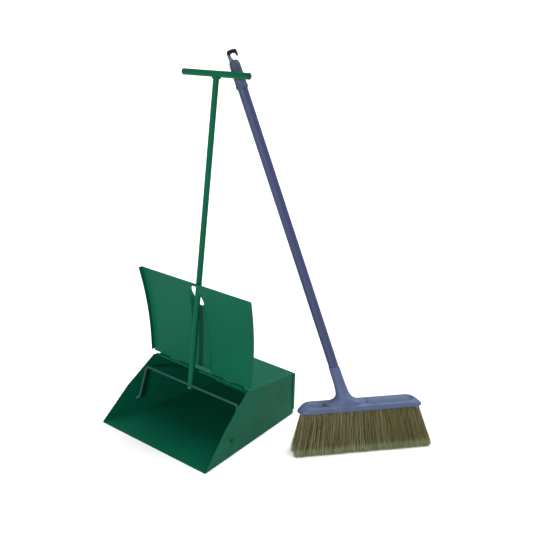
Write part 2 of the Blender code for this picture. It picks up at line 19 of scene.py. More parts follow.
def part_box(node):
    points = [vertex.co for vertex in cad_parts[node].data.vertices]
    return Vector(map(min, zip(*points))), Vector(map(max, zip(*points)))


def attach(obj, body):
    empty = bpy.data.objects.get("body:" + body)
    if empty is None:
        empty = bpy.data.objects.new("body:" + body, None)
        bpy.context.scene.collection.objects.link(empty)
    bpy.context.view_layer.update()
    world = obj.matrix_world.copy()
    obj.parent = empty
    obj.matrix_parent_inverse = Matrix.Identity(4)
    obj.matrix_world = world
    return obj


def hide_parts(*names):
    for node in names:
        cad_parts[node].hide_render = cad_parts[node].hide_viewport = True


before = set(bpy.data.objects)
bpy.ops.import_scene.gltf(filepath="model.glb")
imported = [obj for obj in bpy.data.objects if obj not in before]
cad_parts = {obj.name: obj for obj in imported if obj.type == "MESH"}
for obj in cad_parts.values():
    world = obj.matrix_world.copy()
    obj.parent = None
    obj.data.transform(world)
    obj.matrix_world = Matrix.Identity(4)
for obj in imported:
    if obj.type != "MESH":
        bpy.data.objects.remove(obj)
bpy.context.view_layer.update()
log = logging.getLogger("dust_pan_and_brush_set")


# ------------------------------------------------------------------------ workbench
class Shape(Enum):
    """The primitives that pieces start from."""

    PLANE = "primitive_plane_add"
    GRID = "primitive_grid_add"
    CUBE = "primitive_cube_add"
    CIRCLE = "primitive_circle_add"
    CYLINDER = "primitive_cylinder_add"


class Pick(Enum):
    """What a selection in edit mode is made of, and its place among the select modes."""

    VERTS = 0
    EDGES = 1
    FACES = 2


def middle(item: object) -> Vector:
    """The middle of a vertex, an edge or a face."""
    if hasattr(item, "co"):
        return item.co
    return sum((vert.co for vert in item.verts), Vector()) / len(item.verts)


def fold_angle(edge: object) -> float:
    """The angle in degrees between an edge's two faces, or 0 at a free edge."""
    return math.degrees(edge.calc_face_angle(0.0)) if len(edge.link_faces) == 2 else 0.0


class Piece:
    """One mesh on the bench, shaped with Blender's own modelling tools."""

    def __init__(self, name: str, shape: Shape, **options: object) -> None:
        """Start from a primitive, with its place already in its mesh.

        Args:
            name: The piece's name.
            shape: The primitive to start from.
            options: The primitive's own settings.
        """
        Piece.put_down()
        getattr(bpy.ops.mesh, shape.value)(**options)
        self.body = bpy.context.object
        self.body.name = name
        self.body.data.name = name
        bpy.ops.object.transform_apply(location=True, rotation=True, scale=True)

    @staticmethod
    def put_down() -> None:
        """Leave edit mode with nothing selected."""
        if bpy.context.mode != "OBJECT":
            bpy.ops.object.mode_set(mode="OBJECT")
        bpy.ops.object.select_all(action="DESELECT")

    @classmethod
    def from_object(cls, made: bpy.types.Object) -> "Piece":
        """Take up an object that was made another way."""
        piece = cls.__new__(cls)
        piece.body = made
        return piece

    def take(self, editing: bool) -> None:
        """Make this piece the active one, in edit mode or out of it."""
        if bpy.context.mode != "OBJECT" and bpy.context.object is not self.body:
            bpy.ops.object.mode_set(mode="OBJECT")
        if bpy.context.mode == "OBJECT":
            bpy.ops.object.select_all(action="DESELECT")
            self.body.select_set(True)
            bpy.context.view_layer.objects.active = self.body
        bpy.ops.object.mode_set(mode="EDIT" if editing else "OBJECT")

    def pick(self, kind: Pick, rule: Callable[[object], bool] = lambda item: True) -> "Piece":
        """Select the vertices, edges or faces that pass a rule.

        Args:
            kind: What to select.
            rule: Says whether an element is wanted.

        Returns:
            The piece, for the next step.
        """
        self.take(editing=True)
        bpy.context.tool_settings.mesh_select_mode = tuple(kind.value == mode for mode in range(3))
        bpy.ops.mesh.select_all(action="DESELECT")
        shell = bmesh.from_edit_mesh(self.body.data)
        items = (shell.verts, shell.edges, shell.faces)[kind.value]
        wanted = [item for item in items if rule(item)]
        if not wanted:
            raise ValueError(f"{self.body.name}: nothing to select")
        for item in wanted:
            item.select_set(True)
        shell.select_flush_mode()
        bmesh.update_edit_mesh(self.body.data)
        return self

    def move(self, by: Sequence[float]) -> "Piece":
        """Shift the selection."""
        bpy.ops.transform.translate(value=by)
        return self

    def resize(self, by: Sequence[float], about: Sequence[float] = (0, 0, 0)) -> "Piece":
        """Scale the selection about a point."""
        bpy.ops.transform.resize(value=by, center_override=about)
        return self

    def lean(self, degrees: float, about: Sequence[float]) -> "Piece":
        """Turn the selection about an axis along X through a point."""
        bpy.ops.transform.rotate(value=math.radians(degrees), orient_axis="X", center_override=about)
        return self

    def extrude(self, by: Sequence[float]) -> "Piece":
        """Pull new faces out of the selection."""
        bpy.ops.mesh.extrude_region_move(TRANSFORM_OT_translate={"value": by})
        return self

    def inset(self, width: float, depth: float = 0.0) -> "Piece":
        """Set the selected faces in by a width, and sink them by a depth."""
        bpy.ops.mesh.inset(thickness=width, depth=-depth)
        return self

    def bevel(self, width: float, steps: int) -> "Piece":
        """Round the selected edges."""
        bpy.ops.mesh.bevel(offset=width, segments=steps, affect="EDGES", clamp_overlap=True)
        return self

    def roll(self, degrees: float, centre: Sequence[float], steps: int) -> "Piece":
        """Sweep the selected edges about an axis along X; the tool's own angle runs backwards."""
        bpy.ops.mesh.spin(steps=steps, angle=-math.radians(degrees), center=centre, axis=(1, 0, 0))
        return self

    def cut(self, place: Sequence[float], normal: Sequence[float], clear: bool = False) -> "Piece":
        """Cut the selection with a plane, and clear what lies on its normal's side if asked."""
        bpy.ops.mesh.bisect(plane_co=place, plane_no=normal, clear_outer=clear)
        return self

    def weld(self, reach: float = 0.00001) -> "Piece":
        """Merge doubled vertices, then turn all faces the same way."""
        self.pick(Pick.VERTS)
        bpy.ops.mesh.remove_doubles(threshold=reach)
        bpy.ops.mesh.normals_make_consistent(inside=False)
        return self

    def face(self, rule: Callable[[object], bool], way: Sequence[float]) -> "Piece":
        """Turn an open sheet so that a chosen face looks along a direction."""
        self.weld()
        shell = bmesh.from_edit_mesh(self.body.data)
        chosen = next(face for face in shell.faces if rule(face))
        if chosen.normal.dot(Vector(way)) < 0:
            bpy.ops.mesh.flip_normals()
        return self

    def modify(self, kind: str, **settings: object) -> "Piece":
        """Add a modifier, set it and apply it."""
        self.take(editing=False)
        modifier = self.body.modifiers.new(kind.lower(), kind)
        for key, value in settings.items():
            setattr(modifier, key, value)
        bpy.ops.object.modifier_apply(modifier=modifier.name)
        return self

    def thicken(self, thickness: float, offset: float, edge: float = 0.00028) -> "Piece":
        """Give a sheet its thickness, and break its sheared edges."""
        self.modify("SOLIDIFY", thickness=thickness, offset=offset, use_even_offset=True)
        sharp = math.radians(60)
        return self.modify("BEVEL", width=edge, segments=2, limit_method="ANGLE", angle_limit=sharp)

    def bore(self, cutter: "Piece") -> "Piece":
        """Cut another piece out of this one and throw it away."""
        cutter.take(editing=False)
        self.modify("BOOLEAN", operation="DIFFERENCE", solver="EXACT", object=cutter.body)
        bpy.data.objects.remove(cutter.body, do_unlink=True)
        return self

    def join(self, *others: "Piece") -> "Piece":
        """Make this piece and others one mesh."""
        self.take(editing=False)
        for other in others:
            other.body.select_set(True)
        bpy.ops.object.join()
        return self

    def settle(self, place: Matrix) -> "Piece":
        """Put a piece made at the origin where it belongs, with the place in its mesh."""
        self.take(editing=False)
        self.body.matrix_world = place
        bpy.ops.object.transform_apply(location=True, rotation=True, scale=True)
        return self

    def smooth(self, degrees: float = 38.0) -> "Piece":
        """Shade round surfaces smooth and keep the real corners."""
        self.take(editing=False)
        bpy.ops.object.shade_smooth_by_angle(angle=math.radians(degrees))
        return self.modify("WEIGHTED_NORMAL", keep_sharp=True)


def turned(name: str, profile: Sequence[tuple[float, float]], sides: int = 48) -> Piece:
    """A solid of revolution about Z, drawn up ring by ring and closed at both ends.

    Args:
        name: The piece's name.
        profile: Pairs of radius and height, from one end to the other.
        sides: How many sides each ring has.

    Returns:
        The closed piece.
    """
    (radius, height), *others = profile
    piece = Piece(name, Shape.CIRCLE, vertices=sides, radius=radius, location=(0, 0, height),
                  fill_type="NGON")
    piece.pick(Pick.FACES)
    for wider, higher in others:
        piece.extrude((0, 0, higher - height)).resize((wider / radius, wider / radius, 1), (0, 0, higher))
        radius, height = wider, higher
    return piece.weld()


def bent_rod(name: str, points: Sequence[Vector], radius: float, sides: int = 20) -> Piece:
    """A round bar bent through points, with flat sawn ends.

    Args:
        name: The piece's name.
        points: The middle line, with its bends already rounded.
        radius: Half the bar's thickness.
        sides: How many sides the bar has; a multiple of 4.

    Returns:
        The closed piece.
    """
    Piece.put_down()
    bpy.ops.curve.primitive_bezier_curve_add()
    guide = bpy.context.object
    guide.name = name
    guide.data.splines.clear()
    line = guide.data.splines.new("POLY")
    line.points.add(len(points) - 1)
    for station, point in zip(line.points, points):
        station.co = (*point, 1.0)
    guide.data.bevel_depth = radius
    guide.data.bevel_resolution = sides // 4 - 1
    guide.data.use_fill_caps = True
    bpy.ops.object.convert(target="MESH")
    piece = Piece.from_object(bpy.context.object)
    return piece.weld()


def bend(before: Vector, corner: Vector, after: Vector, radius: float, steps: int = 8) -> list[Vector]:
    """The points of a round bend between two straight runs.

    Args:
        before: A point on the run that comes in.
        corner: Where the two runs would meet.
        after: A point on the run that goes out.
        radius: The bend's radius.
        steps: How many chords it has.

    Returns:
        The points, from the first run to the second.
    """
    first, second = (before - corner).normalized(), (after - corner).normalized()
    half = first.angle(second) / 2
    centre = corner + (first + second).normalized() * radius / math.sin(half)
    start = corner + first * radius / math.tan(half) - centre
    turn = start.rotation_difference(corner + second * radius / math.tan(half) - centre)
    return [centre + Quaternion().slerp(turn, step / steps) @ start for step in range(steps + 1)]


def ease(value: float) -> float:
    """A smooth step from 0 to 1."""
    value = min(1.0, max(0.0, value))
    return value * value * (3 - 2 * value)


# ------------------------------------------------------------------------- finishes
def tint(code: str) -> tuple[float, float, float, float]:
    """Turn an sRGB hex value into the linear colour that Blender mixes."""
    parts = [int(code[at:at + 2], 16) / 255 for at in (1, 3, 5)]
    return (*(part / 12.92 if part <= 0.04045 else ((part + 0.055) / 1.055) ** 2.4 for part in parts), 1.0)


def add_node(tree: bpy.types.NodeTree, kind: str, links: dict, **settings: object) -> bpy.types.Node:
    """Add a shader node with its settings, values and links.

    Args:
        tree: The material's node tree.
        kind: The node's type, without its "ShaderNode" prefix.
        links: For each input, by name or number, a value or another node's output.
        settings: The node's own properties.

    Returns:
        The new node.
    """
    node = tree.nodes.new("ShaderNode" + kind)
    for key, value in settings.items():
        setattr(node, key, value)
    for key, value in links.items():
        if isinstance(value, bpy.types.NodeSocket):
            tree.links.new(value, node.inputs[key])
        else:
            node.inputs[key].default_value = value
    return node


class Tree:
    """The nodes that several finishes share."""

    def __init__(self, name: str) -> None:
        """Start a material with only its shader and output."""
        self.material = bpy.data.materials.new(name)
        self.material.use_nodes = True
        self.nodes = self.material.node_tree
        self.shader = self.nodes.nodes["Principled BSDF"]
        self.place = add_node(self.nodes, "TexCoord", {}).outputs["Object"]

    def grain(self, size: float, detail: float = 2.0,
              stretch: Sequence[float] = (1, 1, 1)) -> bpy.types.NodeSocket:
        """Noise whose lumps are a real size across.

        Args:
            size: A lump's size in metres.
            detail: How many finer layers lie on it.
            stretch: How much denser it runs along X, Y and Z.

        Returns:
            The noise, from 0 to 1.
        """
        spread = add_node(self.nodes, "Mapping", {"Vector": self.place, "Scale": stretch})
        noise = add_node(self.nodes, "TexNoise",
                         {"Vector": spread.outputs[0], "Scale": 1 / size, "Detail": detail})
        return noise.outputs[0]

    def span(self, value: bpy.types.NodeSocket, low: float, high: float, start: float = 0.3,
             end: float = 0.7) -> bpy.types.NodeSocket:
        """Stretch the range start to end of a value over low to high."""
        return add_node(self.nodes, "MapRange", {0: value, 1: start, 2: end, 3: low, 4: high}).outputs[0]

    def blend(self, share: object, first: object, second: object) -> bpy.types.NodeSocket:
        """Mix two colours."""
        return add_node(self.nodes, "Mix", {0: share, 6: first, 7: second}, data_type="RGBA").outputs[2]

    def bumps(self, *layers: tuple[bpy.types.NodeSocket, float]) -> None:
        """Lay bumps on the shader, each a height field and its height in metres."""
        normal = None
        for height, depth in layers:
            links = {"Height": height, "Distance": depth, "Strength": 1.0}
            if normal is not None:
                links["Normal"] = normal
            normal = add_node(self.nodes, "Bump", links).outputs[0]
        self.nodes.links.new(normal, self.shader.inputs["Normal"])

    def set(self, **inputs: object) -> None:
        """Set or link the shader's own sockets; an underscore stands for a space."""
        for key, value in inputs.items():
            socket = self.shader.inputs[key.replace("_", " ")]
            if isinstance(value, bpy.types.NodeSocket):
                self.nodes.links.new(value, socket)
            else:
                socket.default_value = value


@dataclass(frozen=True)
class Finish:
    """A finish: its name, the record's slot it belongs to, and its two main colours."""

    name: str
    slot: str
    colour: str
    shade: str

    def material(self) -> bpy.types.Material:
        """The finish's material, made the first time it is asked for."""
        made = bpy.data.materials.get(self.name)
        if made is None:
            tree = Tree(self.name)
            self.fill(tree)
            made = tree.material
        return made

    def fill(self, tree: Tree) -> None:
        """Lay the finish's nodes."""
        raise NotImplementedError


@dataclass(frozen=True)
class StovedEnamel(Finish):
    """Green alkyd enamel sprayed on mild steel sheet and stoved.

    It gives a satin gloss over a fine orange peel, and slow clouds where the coat is thicker.
    """

    roughness: float = 0.40

    def fill(self, tree: Tree) -> None:
        """Orange peel 2.2 mm across, clouds 90 mm across, faint rubs 14 mm long."""
        clouds = tree.span(tree.grain(0.09, 3.0), 0.0, 1.0)
        rubs = tree.span(tree.grain(0.014, 4.0, (1, 1, 0.35)), 0.0, 1.0, 0.45, 0.75)
        base = tree.blend(clouds, tint(self.colour), tint(self.shade))
        # Handling leaves the enamel a touch paler and duller in patches.
        rubbed = tree.blend(tree.span(rubs, 0.0, 0.05, 0.0, 1.0), base, tint("#3C6455"))
        dulled = tree.span(rubs, self.roughness - 0.05, self.roughness + 0.10, 0.0, 1.0)
        tree.set(Base_Color=rubbed, Roughness=dulled, IOR=1.5, Specular_IOR_Level=0.05)
        tree.bumps((tree.grain(0.0022, 1.0), 0.00003), (tree.grain(0.035, 1.0), 0.00020))


@dataclass(frozen=True)
class MouldedPlastic(Finish):
    """Injection-moulded polypropylene, tinted in the melt.

    It gives a soft sheen with a fine spark texture, and faint flow marks.
    """

    roughness: float = 0.42

    def fill(self, tree: Tree) -> None:
        """Spark texture 0.7 mm across, flow marks 25 mm across."""
        flow = tree.span(tree.grain(0.025, 3.0, (0.5, 1, 1)), 0.0, 1.0)
        tree.set(Base_Color=tree.blend(flow, tint(self.colour), tint(self.shade)),
                 Roughness=tree.span(flow, self.roughness, self.roughness + 0.08, 0.0, 1.0), IOR=1.49,
                 Specular_IOR_Level=0.20)
        tree.bumps((tree.grain(0.0007, 2.0), 0.00002), (tree.grain(0.012, 1.0), 0.00012))


@dataclass(frozen=True)
class PaintedHighlightHook(MouldedPlastic):
    """The hook's black nylon, with a painted highlight on its spine: pale blue-grey low down, fading to black
    at the crown.
    """

    spine: str = "#5C6C7E"
    foot: float = 0.697
    crown: float = 0.709

    def fill(self, tree: Tree) -> None:
        """The painted highlight fades from the spine's pale colour to black over the 12 mm below the crown.
        """
        super().fill(tree)
        # Painted highlight: pale blue-grey below the foot height, blended to black by the crown height.
        height = add_node(tree.nodes, "SeparateXYZ", {"Vector": tree.place}).outputs["Z"]
        share = tree.span(height, 0.0, 1.0, self.foot, self.crown)
        tree.set(Base_Color=tree.blend(share, tint(self.spine), tint(self.colour)))


@dataclass(frozen=True)
class CoatedTube(Finish):
    """Thin steel tube in a shrunk-on vinyl skin.

    It gives a smooth skin with long faint draw lines down the tube.
    """

    place: tuple[float, float, float] = (0.0, 0.0, 0.0)
    turn: tuple[float, float, float] = (0.0, 0.0, 0.0)

    def fill(self, tree: Tree) -> None:
        """Draw lines 3 mm wide and 100 mm long, laid along the tube's own axis."""
        along = add_node(tree.nodes, "Mapping",
                         {"Vector": tree.place, "Location": self.place, "Rotation": self.turn},
                         vector_type="TEXTURE")
        tree.place = along.outputs[0]
        lines = tree.span(tree.grain(0.003, 2.0, (1, 1, 0.03)), 0.0, 1.0)
        patches = tree.span(tree.grain(0.06, 2.0, (1, 1, 0.5)), 0.0, 1.0)
        share = add_node(tree.nodes, "Math", {0: lines, 1: patches}, operation="MULTIPLY").outputs[0]
        tree.set(Base_Color=tree.blend(share, tint(self.colour), tint(self.shade)),
                 Roughness=tree.span(lines, 0.34, 0.46, 0.0, 1.0), IOR=1.53, Specular_IOR_Level=0.20)
        tree.bumps((tree.grain(0.003, 1.0, (1, 1, 0.03)), 0.00004), (tree.grain(0.02, 1.0), 0.00010))


@dataclass(frozen=True)
class BristleFibre(Finish):
    """Extruded polypropylene filament, split at its tips.

    It gives olive strands of slightly different tones, with pale ends and painted shade where they leave the
    block.
    """

    tip: str = "#727A58"

    def fill(self, tree: Tree) -> None:
        """Colours follow each strand's own tone and the distance along it."""
        tone = add_node(tree.nodes, "Attribute", {}, attribute_name="tone").outputs["Fac"]
        along = add_node(tree.nodes, "Attribute", {}, attribute_name="along").outputs["Fac"]
        strand = tree.blend(tone, tint(self.shade), tint(self.colour))
        worn = tree.blend(tree.span(along, 0.0, 0.75, 0.80, 0.88), strand, tint(self.tip))
        # Painted shade: up to 30 % dark brown where the strands leave the block.
        painted_root_shade = tree.blend(tree.span(along, 0.30, 0.0, 0.0, 0.10), worn, tint("#171508"))
        tree.set(Base_Color=painted_root_shade, Roughness=tree.span(along, 0.45, 0.75, 0.78, 0.95), IOR=1.49)
        tree.bumps((tree.grain(0.004, 1.0, (1, 1, 0.2)), 0.00005),)


@dataclass(frozen=True)
class ZincPlate(Finish):
    """Bright zinc on turned steel.

    It gives a pale grey metal with fine turning marks and a patchy bloom.
    """

    def fill(self, tree: Tree) -> None:
        """Bloom 5 mm across over turning marks 0.6 mm apart."""
        bloom = tree.span(tree.grain(0.005, 3.0), 0.0, 1.0)
        tree.set(Base_Color=tree.blend(bloom, tint(self.colour), tint(self.shade)), Metallic=1.0,
                 Roughness=tree.span(bloom, 0.28, 0.45, 0.0, 1.0))
        tree.bumps((tree.grain(0.0006, 1.0, (1, 1, 3)), 0.00001),)


@dataclass(frozen=True)
class StudioFloor(Finish):
    """Matt pale studio floor, nearly even."""

    def fill(self, tree: Tree) -> None:
        """A barely visible unevenness 300 mm across."""
        drift = tree.span(tree.grain(0.3, 1.0), 0.0, 1.0)
        tree.set(Base_Color=tree.blend(drift, tint(self.colour), tint(self.shade)), Roughness=0.85)


SHEET_GREEN = StovedEnamel("stoved_green_enamel", "green_paint", "#034E39", "#034935", 0.50)
ROD_GREEN = StovedEnamel("stoved_green_enamel_on_tube", "green_paint", "#054E34", "#044730", 0.45)
WIRE_GREEN = StovedEnamel("thin_green_enamel_on_wire", "green_paint", "#284C45", "#20443C", 0.40)
PLUG_GREEN = MouldedPlastic("moulded_dark_green_nylon", "dark_plastic", "#08352A", "#072D24", 0.45)
BLACK_PLASTIC = MouldedPlastic("moulded_black_nylon", "dark_plastic", "#0C0E11", "#090B0D", 0.35)
HOOK_PLASTIC = PaintedHighlightHook("moulded_black_nylon_with_painted_spine_highlight", "dark_plastic", "#0C0E11", "#090B0D", 0.35)
BLUE_PLASTIC = MouldedPlastic("moulded_blue_grey_polypropylene", "blue_plastic", "#434F6C", "#3B4660", 0.50)
CAP_PLASTIC = MouldedPlastic("moulded_dark_blue_grey_polypropylene", "blue_plastic",
                             "#333E52", "#2B3547", 0.50)
FOOT_ZINC = ZincPlate("bright_zinc_on_steel", "bare_steel", "#B9C4BF", "#8F9A95")
FIBRE = BristleFibre("split_polypropylene_filament", "bristle", "#625E30", "#322F14")
FLOOR = StudioFloor("pale_studio_floor", "", "#E6E6E4", "#E1E1DF")


def hand_over(piece: Piece, finish: Finish, body: str, *nodes: str) -> None:
    """Dress a finished piece, hang it on its body and let it stand for its solids.

    Args:
        piece: The finished piece.
        finish: Its finish.
        body: The body that it rides on.
        nodes: The solids that it replaces.
    """
    piece.take(editing=False)
    made = piece.body
    made.data.materials.clear()
    made.data.materials.append(finish.material())
    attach(made, body)
    if nodes:
        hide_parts(*nodes)
    log.info("%s: %d faces on body %s", made.name, len(made.data.polygons), body)


# ------------------------------------------------------------------------------ pan
@dataclass
class PanBody:
    """The folded pan: tray, back panel, fixed cover and hinge pin. Sizes in metres."""

    lip_width: float = 0.280
    back_width: float = 0.214
    depth: float = 0.288
    sheet: float = 0.001
    gap: float = 0.0003
    lip_edge: float = 0.0015
    wall_bulge: float = 0.007
    back_height: float = 0.0885
    back_tab: float = 0.020
    back_base: float = 0.0105
    back_wrap: float = 0.008
    cover_fold: float = 0.009
    fold_radius: float = 0.0024
    knuckle_radius: float = 0.0024
    knuckle_wrap: float = 255.0
    knuckle_notch: float = 0.0045
    knuckles: tuple[tuple[float, float], ...] = ((0.0598, 0.0842), (-0.0302, 0.0302), (-0.0842, -0.0598))
    pivot: Vector = field(default_factory=lambda: sum(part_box("bail_cap_left"), Vector()) / 2)
    pin: Vector = field(default_factory=lambda: sum(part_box("hinge_pin"), Vector()) / 2)

    @property
    def front(self) -> float:
        """The lip's place along Y."""
        return -self.depth / 2

    @property
    def cover_level(self) -> float:
        """The top of the cover at the hinge."""
        return self.pin.z - self.knuckle_radius + self.sheet / 2

    @property
    def cover_slope(self) -> float:
        """How the cover falls to the back."""
        return (self.back_height - self.cover_level) / (self.depth / 2 - self.pin.y)

    def half_width(self, y: float) -> float:
        """Half the pan's outside width at a place along Y."""
        return (self.lip_width + (self.back_width - self.lip_width) * (y - self.front) / self.depth) / 2

    def brow(self, steps: int = 16) -> list[Vector]:
        """The points of a wall's curved sloping edge, from the lip to the hinge."""
        low = Vector((0, self.front, self.lip_edge))
        run = Vector((0, self.pin.y, self.cover_level)) - low
        outward = Vector((0, -run.z, run.y)).normalized()
        return [low + run * share + outward * self.wall_bulge * 4 * share * (1 - share)
                for share in (step / steps for step in range(steps + 1))]

    def tray(self) -> Piece:
        """Floor, walls and low back tab, folded from one sheet and trimmed to the curved brow."""
        back = self.depth - self.sheet - self.gap
        piece = Piece("tray_sheet", Shape.PLANE, size=1.0)
        piece.pick(Pick.VERTS).move((0, 0.5, 0)).resize((self.lip_width, back, 1)).move((0, self.front, 0))
        ratio = self.half_width(self.front + back) * 2 / self.lip_width
        piece.pick(Pick.VERTS, lambda vert: vert.co.y > 0).resize((ratio, 1, 1))
        piece.pick(Pick.EDGES, lambda edge: middle(edge).y > self.front + 0.01).extrude((0, 0, 0.17))
        piece.face(lambda face: middle(face).z < 0.001, (0, 0, -1))
        piece.pick(Pick.EDGES, lambda edge: fold_angle(edge) > 60).bevel(self.fold_radius, 4)

        def is_back(face: object) -> bool:
            return face.normal.y > 0.95

        piece.pick(Pick.FACES, is_back).cut((0, 0, self.back_tab), (0, 0, 1))
        piece.pick(Pick.FACES, lambda face: is_back(face) and middle(face).z > self.back_tab)
        bpy.ops.mesh.delete(type="ONLY_FACE")
        piece.pick(Pick.EDGES, lambda edge: not edge.link_faces)
        bpy.ops.mesh.delete(type="EDGE")
        piece.pick(Pick.FACES).cut((0, self.pin.y, self.cover_level), (0, -self.cover_slope, 1), clear=True)
        brow = self.brow()
        for first, second in zip(brow, brow[1:]):
            along = second - first
            piece.pick(Pick.FACES).cut(first, (0, -along.z, along.y), clear=True)
        piece.face(lambda face: middle(face).z < 0.0002 and abs(face.normal.z) > 0.99, (0, 0, -1))
        piece.thicken(self.sheet, -1.0)
        holes = Piece("pivot_holes", Shape.CYLINDER, vertices=40, radius=0.0031, depth=0.4,
                      location=(0, self.pivot.y, self.pivot.z), rotation=(0, math.pi / 2, 0))
        return piece.bore(holes).smooth()

    def back_panel(self) -> Piece:
        """The back, wrapped round the walls and ending above the floor."""
        half = self.half_width(self.depth / 2) + self.gap + self.sheet
        top = self.back_height - 0.0004
        flare = self.half_width(self.depth / 2 - self.back_wrap) - self.half_width(self.depth / 2)
        piece = Piece("back_sheet", Shape.PLANE, size=1.0, rotation=(-math.pi / 2, 0, 0))
        piece.pick(Pick.VERTS).move((0, 0, 0.5)).resize((2 * half, 1, top - self.back_base))
        piece.move((0, self.depth / 2, self.back_base))
        for side in (-1, 1):
            piece.pick(Pick.EDGES, lambda edge: middle(edge).x * side > half - 0.001)
            piece.extrude((side * flare, -self.back_wrap, 0))
        piece.pick(Pick.VERTS, lambda vert: vert.co.y < self.depth / 2 - 0.001
                   and vert.co.z > self.back_base + 0.01)
        piece.move((0, 0, -self.cover_slope * self.back_wrap))
        piece.face(lambda face: abs(face.normal.y) > 0.9, (0, 1, 0))
        piece.pick(Pick.EDGES, lambda edge: fold_angle(edge) > 60).bevel(0.0018, 4)
        return piece.thicken(self.sheet, -1.0).smooth()

    def cover(self) -> Piece:
        """The fixed cover, folded down inside the walls and rolled round the pin."""
        rear = self.depth / 2 - 2 * self.sheet - 3 * self.gap
        level = self.cover_level - self.sheet / 2
        inset = self.sheet * 1.5 + self.gap
        front_half, rear_half = self.half_width(self.pin.y) - inset, self.half_width(rear) - inset
        piece = Piece("cover_sheet", Shape.PLANE, size=1.0)
        piece.pick(Pick.VERTS).move((0, 0.5, 0)).resize((2 * front_half, rear - self.pin.y, 1))
        piece.move((0, self.pin.y, level))
        piece.pick(Pick.VERTS, lambda vert: vert.co.y > rear - 0.001).resize((rear_half / front_half, 1, 1))
        piece.move((0, 0, self.back_height - self.sheet / 2 - level))
        for side in (-1, 1):
            piece.pick(Pick.EDGES, lambda edge: middle(edge).x * side > rear_half / 2 and
                       abs((edge.verts[0].co - edge.verts[1].co).y) > 0.05).extrude((0, 0, -self.cover_fold))
        piece.face(lambda face: abs(face.normal.z) > 0.9, (0, 0, 1))
        piece.pick(Pick.EDGES, lambda edge: fold_angle(edge) > 60).bevel(0.0020, 4)
        for station in (edge for knuckle in self.knuckles for edge in knuckle):
            piece.pick(Pick.FACES).cut((station, 0, 0), (1, 0, 0))
        notch = self.pin.y + self.knuckle_notch
        piece.pick(Pick.FACES).cut((0, notch, 0), (0, 1, 0))
        piece.pick(Pick.FACES, lambda face: middle(face).y < notch - 0.0001
                   and not self.on_knuckle(middle(face).x))
        bpy.ops.mesh.delete(type="FACE")
        piece.pick(Pick.EDGES, lambda edge: middle(edge).y < self.pin.y + 0.0001
                   and abs(edge.verts[0].co.y - edge.verts[1].co.y) < 1e-5)
        piece.roll(-self.knuckle_wrap, (0, self.pin.y, self.pin.z), 20)
        piece.face(lambda face: face.normal.z ** 2 > 0.8 and face.calc_area() > 0.005, (0, 0, 1))
        return piece.thicken(self.sheet, 0.0, 0.0002).smooth()

    def on_knuckle(self, x: float) -> bool:
        """Whether a place along X lies on one of the cover's knuckles."""
        return any(low < x < high for low, high in self.knuckles)

    def hinge_pin(self) -> Piece:
        """The pin through the knuckles, with peened ends."""
        low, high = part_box("hinge_pin")
        radius, half = (high.z - low.z) / 2, (high.x - low.x) / 2
        profile = [(radius * 0.6, -half), (radius * 1.25, -half + 0.0004), (radius * 1.25, -half + 0.0013),
                   (radius, -half + 0.0018)]
        profile += [(wide, -height) for wide, height in reversed(profile)]
        return turned("hinge_rod", profile, 24).settle(
            Matrix.Translation(self.pin) @ Matrix.Rotation(math.pi / 2, 4, "Y")).smooth()

    def weld_marks(self) -> Piece:
        """Shallow spot welds through the walls, where the cover's and the back's folds lie inside."""
        marks = []
        for side in (-1, 1):
            for y in (self.pin.y + 0.028, self.pin.y + 0.080, self.pin.y + 0.132):
                z = self.cover_level + self.cover_slope * (y - self.pin.y) - 0.0052
                mark = turned("weld_mark", [(0.0012, -0.0001), (0.0029, -0.0001), (0.0027, 0.00016),
                                            (0.0012, 0.0001)], 20)
                outward = Vector((side * self.depth, (self.lip_width - self.back_width) / 2, 0)).normalized()
                turn = outward.to_track_quat("Z", "Y").to_matrix().to_4x4()
                marks.append(mark.settle(Matrix.Translation((side * self.half_width(y), y, z)) @ turn))
        return marks[0].join(*marks[1:]).smooth()

    def build(self) -> None:
        """Make and dress the pan."""
        hand_over(self.tray(), SHEET_GREEN, "pan", "pan_tray")
        hand_over(self.back_panel(), SHEET_GREEN, "pan", "back_panel")
        hand_over(self.cover(), SHEET_GREEN, "pan", "top_cover")
        hand_over(self.hinge_pin(), ROD_GREEN, "pan", "hinge_pin")
        marks = self.weld_marks()
        marks.body.name = "spot_welds"
        hand_over(marks, SHEET_GREEN, "pan")


